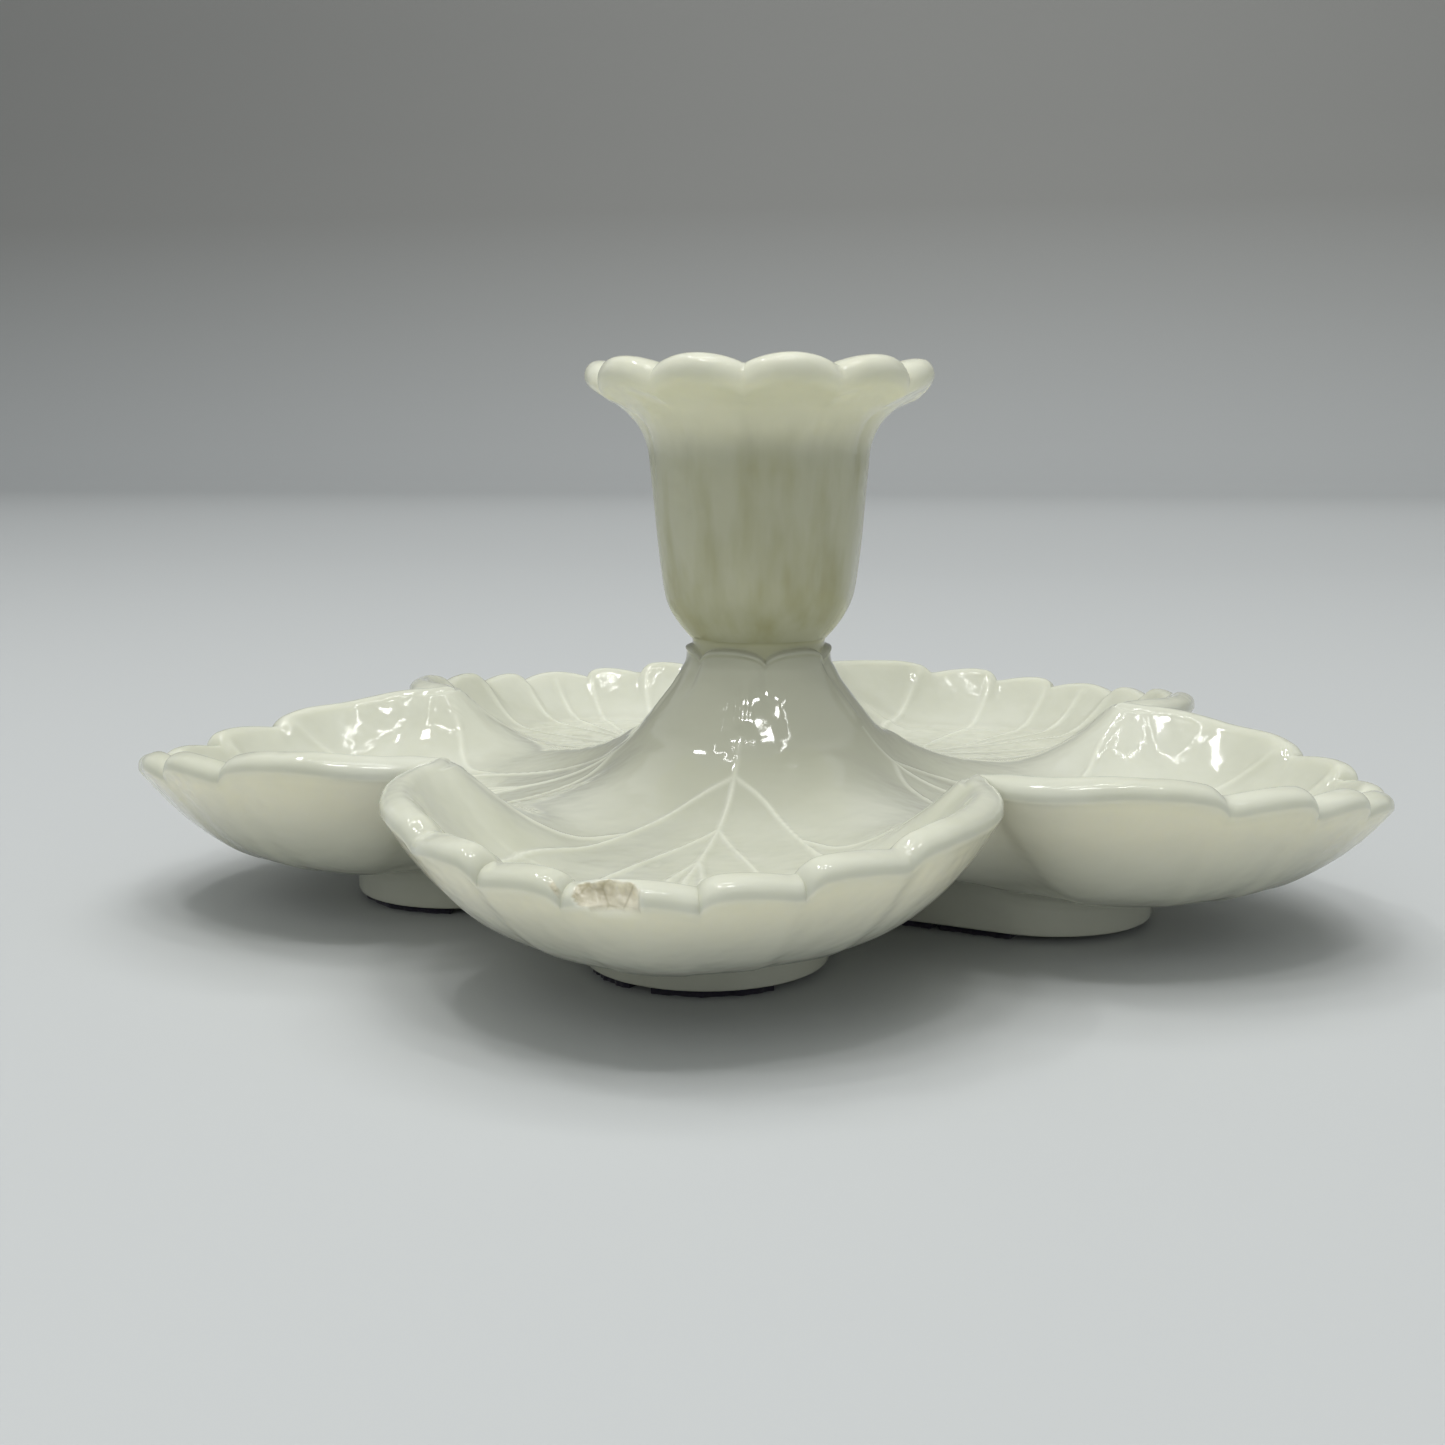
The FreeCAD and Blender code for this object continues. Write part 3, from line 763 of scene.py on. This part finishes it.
# Section of the wall: how far across it, and how far up as a share of the way from felt to leaf.
half = FOOT_WIDTH / 2.0
sole = half - FOOT_ROUND
flare = half + FOOT_FLARE
foot_runs = [
    [(-sole, 0.0), (sole, 0.0)],
    [(sole, 0.0), (half - 0.15, 0.03), (half, 0.12)],
    [(half, 0.12), (half, 0.70)],
    [(half, 0.70), (half + 0.25, 0.88), (flare, 1.0)],
    [(flare, 1.0), (-flare, 1.0)],
    [(-flare, 1.0), (-half - 0.25, 0.88), (-half, 0.70)],
    [(-half, 0.70), (-half, 0.12)],
    [(-half, 0.12), (-half + 0.15, 0.03), (-sole, 0.0)],
]
section = []
for run in foot_runs:
    section += list(spline(run, 6)[:-1]) if len(run) > 2 else list(np.linspace(run[0], run[1], 9)[:-1])
section = np.array(section)
bpy.ops.object.select_all(action="DESELECT")
bpy.ops.mesh.primitive_torus_add(major_segments=len(ring_path), minor_segments=len(section),
                                 major_radius=1.0, minor_radius=0.25)
foot = bpy.context.object
foot.name = "foot_ring_glass"
foot.data.name = foot.name
place = read_vertices(foot)
along = np.rint(np.arctan2(place[:, 1], place[:, 0]) / (2.0 * math.pi) * len(ring_path)).astype(int)
along = along % len(ring_path)
around = np.arctan2(place[:, 2], np.hypot(place[:, 0], place[:, 1]) - 1.0)
around = np.rint(around / (2.0 * math.pi) * len(section)).astype(int) % len(section)
plan = ring_path[along] + ring_ways[along] * section[around, :1]
degrees = np.degrees(np.arctan2(plan[:, 1], plan[:, 0])) - FRONT_DEGREES
degrees = (degrees + HALF) % SECTOR - HALF
reach = np.hypot(plan[:, 0], plan[:, 1])
local = np.stack([reach * np.cos(np.radians(degrees)), reach * np.sin(np.radians(degrees))], -1)
ceiling = leaf_under(local) + FOOT_SINK
ceiling = np.where(reach < STEM_R + 3.0, np.maximum(ceiling, STEM_UNDER_Z), ceiling)
place_vertices(foot, np.column_stack([plan, FELT_T + (ceiling - FELT_T) * section[around, 1]]))
close_and_smooth(foot, 50.0)
finish_piece(foot, "foot_ring", opal_glass("opal_glass_foot"))


# ---- The felt strips -------------------------------------------------------------------------------
# Seven short strips cut by hand from thin dark felt and glued under the foot's lobes.
# They keep the glass off the table; their edges are slightly uneven and fuzzy.

FELT_INSET, FELT_WIDTH, FELT_SHIFT = 0.9, 4.0, 0.1
FELT_ARCS = {                     # leaf it lies under, first and last angle round that lobe's centre
    "felt_front_left": ("front", -64.0, -30.0),
    "felt_front_right": ("front", -17.0, 44.0),
    "felt_back_right": ("back_right", -40.0, 36.0),
    "felt_back_left": ("back_left", -38.0, 40.0),
    "felt_left": ("left", -10.0, 82.0),
}
FELT_BARS = {                     # straight ones: leaf it lies under, first and last distance from the axis
    "felt_right_inner": ("right", 26.0, 34.5),
    "felt_right_outer": ("right", 35.6, 46.0),
}
ARC_STEPS, BAR_STEPS, FELT_ROWS = 60, 30, 9
EDGE_WAVE, EDGE_RIPPLE, END_SKEW = 0.14, 0.08, 0.12      # how uneven the cut is, in mm
FELT_SOFT = 0.22                  # rounding of its edges


def felt_cloth():
    """Dark purple-black pressed felt with a short nap."""
    material = bpy.data.materials.new("dark_felt")
    material.use_nodes = True
    shader = material.node_tree.nodes["Principled BSDF"]
    shader.inputs["Roughness"].default_value = 0.95
    shader.inputs["Sheen Weight"].default_value = 0.15
    shader.inputs["Sheen Roughness"].default_value = 0.6
    fibre = add_noise(material, object_place(material), 1400.0, 5.0)
    tint = add_ramp(material, fibre.outputs["Fac"],
                    [(0.35, (0.0035, 0.0025, 0.008)), (0.75, (0.016, 0.011, 0.026))])
    feed(material, tint.outputs["Color"], shader.inputs["Base Color"])
    add_bump(material, fibre.outputs["Fac"], 0.0003, 0.6)
    return material


felt_material = felt_cloth()
outer = FOOT_R - FELT_INSET
for number, (name, (leaf_name, first, last)) in enumerate({**FELT_ARCS, **FELT_BARS}.items()):
    steps = ARC_STEPS if name in FELT_ARCS else BAR_STEPS
    felt, column, row = add_grid(name + "_cloth", steps, FELT_ROWS)
    along = column / (steps - 1.0)
    out = row / (FELT_ROWS - 1.0)
    ends = np.where((column == 0) | (column == steps - 1), 1.0, 0.0)
    wobble = EDGE_WAVE * np.sin(along * 17.0 + number) + EDGE_RIPPLE * np.sin(along * 43.0 + 2.0 * number)
    r = outer - FELT_WIDTH * (1.0 - out) + wobble * np.abs(2.0 * out - 1.0) - FELT_SHIFT
    ragged = END_SKEW * np.sin(out * 6.0 + number) * ends
    if name in FELT_ARCS:
        turn = np.radians(first + (last - first) * along) + ragged / outer
        x = FOOT_CENTRE + r * np.cos(turn)
        y = r * np.sin(turn)
    else:
        x = first + (last - first) * along + ragged
        y = -r
    angle = math.radians(FRONT_DEGREES + SECTOR * LEAVES.index(leaf_name))
    place_vertices(felt, np.column_stack([x * math.cos(angle) - y * math.sin(angle),
                                          x * math.sin(angle) + y * math.cos(angle),
                                          np.full(len(x), FELT_T)]))
    thick = felt.modifiers.new("thickness", "SOLIDIFY")
    thick.thickness = FELT_T * MM
    thick.offset = 1.0
    soften = felt.modifiers.new("soft_edge", "BEVEL")
    soften.width = FELT_SOFT * MM
    soften.segments = 2
    soften.limit_method = "ANGLE"
    bpy.ops.object.modifier_apply(modifier=thick.name)
    bpy.ops.object.modifier_apply(modifier=soften.name)
    close_and_smooth(felt, 60.0)
    finish_piece(felt, name, felt_material)


# ---- Table, light and camera -----------------------------------------------------------------------
# A pale grey table top that curves up into a plain backdrop.
# Soft light comes from above, with narrow lamps that show in the glass; the camera looks slightly down.

TABLE_HALF, TABLE_BACK, TABLE_DEPTH = 4.0, 3.6, 4.5      # metres
CURVE_R, BACKDROP_RISE = 0.9, 3.0
TABLE_COLUMNS, TABLE_ROWS = 9, 41
LAMP_TARGET = (0.0, 0.0, 0.03)
STRIP_X, STRIP_Y, STRIP_Z = 0.16, -0.10, 0.85
SMALL_LAMPS = {"small_lamp_left": -181.5, "small_lamp_middle": -109.5, "small_lamp_right": -66.5}
SMALL_REACH, SMALL_Z = 0.37, 0.88

floor, column, row = add_grid("table_and_backdrop", TABLE_COLUMNS, TABLE_ROWS)
lengths = [TABLE_DEPTH, CURVE_R * math.pi / 2.0, BACKDROP_RISE]
run = row / (TABLE_ROWS - 1.0) * sum(lengths)
bend = np.clip((run - lengths[0]) / CURVE_R, 0.0, math.pi / 2.0)
flat = np.minimum(run, lengths[0])
climb = np.maximum(run - lengths[0] - lengths[1], 0.0)
place_vertices(floor, np.column_stack([
    (column / (TABLE_COLUMNS - 1.0) - 0.5) * 2.0 * TABLE_HALF / MM,
    (TABLE_BACK - CURVE_R - lengths[0] + flat + CURVE_R * np.sin(bend)) / MM,
    (CURVE_R * (1.0 - np.cos(bend)) + climb) / MM]))
bpy.ops.object.shade_smooth()
table = bpy.data.materials.new("pale_table")
table.use_nodes = True
shader = table.node_tree.nodes["Principled BSDF"]
shader.inputs["Roughness"].default_value = 0.6
parts = table.node_tree.nodes.new("ShaderNodeSeparateXYZ")
feed(table, object_place(table), parts.inputs["Vector"])
# Painted shade: the colour is pale on the table and darkens up the backdrop, where less light falls.
fade = add_ramp(table, parts.outputs["Z"], [(0.0, (0.46, 0.475, 0.47)), (0.6, (0.265, 0.265, 0.25))])
feed(table, fade.outputs["Color"], shader.inputs["Base Color"])
floor.data.materials.append(table)


def add_light(name, length, width, energy, place, target, in_gloss):
    """A rectangular lamp that faces its target; in_gloss says whether the glass mirrors it."""
    lamp = bpy.data.lights.new(name, "AREA")
    lamp.shape = "RECTANGLE"
    lamp.size = width
    lamp.size_y = length
    lamp.energy = energy
    holder = bpy.data.objects.new(name, lamp)
    bpy.context.scene.collection.objects.link(holder)
    holder.location = place
    holder.rotation_euler = (Vector(target) - Vector(place)).to_track_quat("-Z", "Y").to_euler()
    holder.visible_glossy = in_gloss


add_light("overhead", 1.0, 1.0, 4.9, (0.0, 0.0, 1.0), LAMP_TARGET, False)
add_light("front_fill", 0.8, 0.8, 1.8, (-0.4, -1.0, 0.8), (0.0, 0.0, 0.04), False)
add_light("back_fill", 1.6, 1.2, 32.0, (0.0, 1.2, 2.2), (0.0, 3.4, 0.5), False)
for name, x in {"long_strip_left": -STRIP_X, "long_strip_right": STRIP_X}.items():
    add_light(name, 0.50, 0.012, 0.5, (x, STRIP_Y, STRIP_Z), LAMP_TARGET, True)
for name, degrees in SMALL_LAMPS.items():
    way = direction(degrees)
    spot = (SMALL_REACH * way[0], SMALL_REACH * way[1], SMALL_Z)
    add_light(name, 0.045, 0.14, 0.75, spot, LAMP_TARGET, True)
world = bpy.data.worlds.new("studio")
world.use_nodes = True
world.node_tree.nodes["Background"].inputs["Color"].default_value = (0.94, 0.97, 1.0, 1.0)
world.node_tree.nodes["Background"].inputs["Strength"].default_value = 0.55
bpy.context.scene.world = world
bpy.context.scene.view_settings.view_transform = "Standard"

lens = bpy.data.cameras.new("camera")
lens.lens = 42.2
lens.sensor_width = 36.0
lens.clip_start = 0.01
camera = bpy.data.objects.new("camera", lens)
bpy.context.scene.collection.objects.link(camera)
camera.location = (0.03797, -0.25485, 0.0652)
camera.rotation_euler = (math.radians(81.02), 0.0, math.radians(9.7))
bpy.context.scene.camera = camera
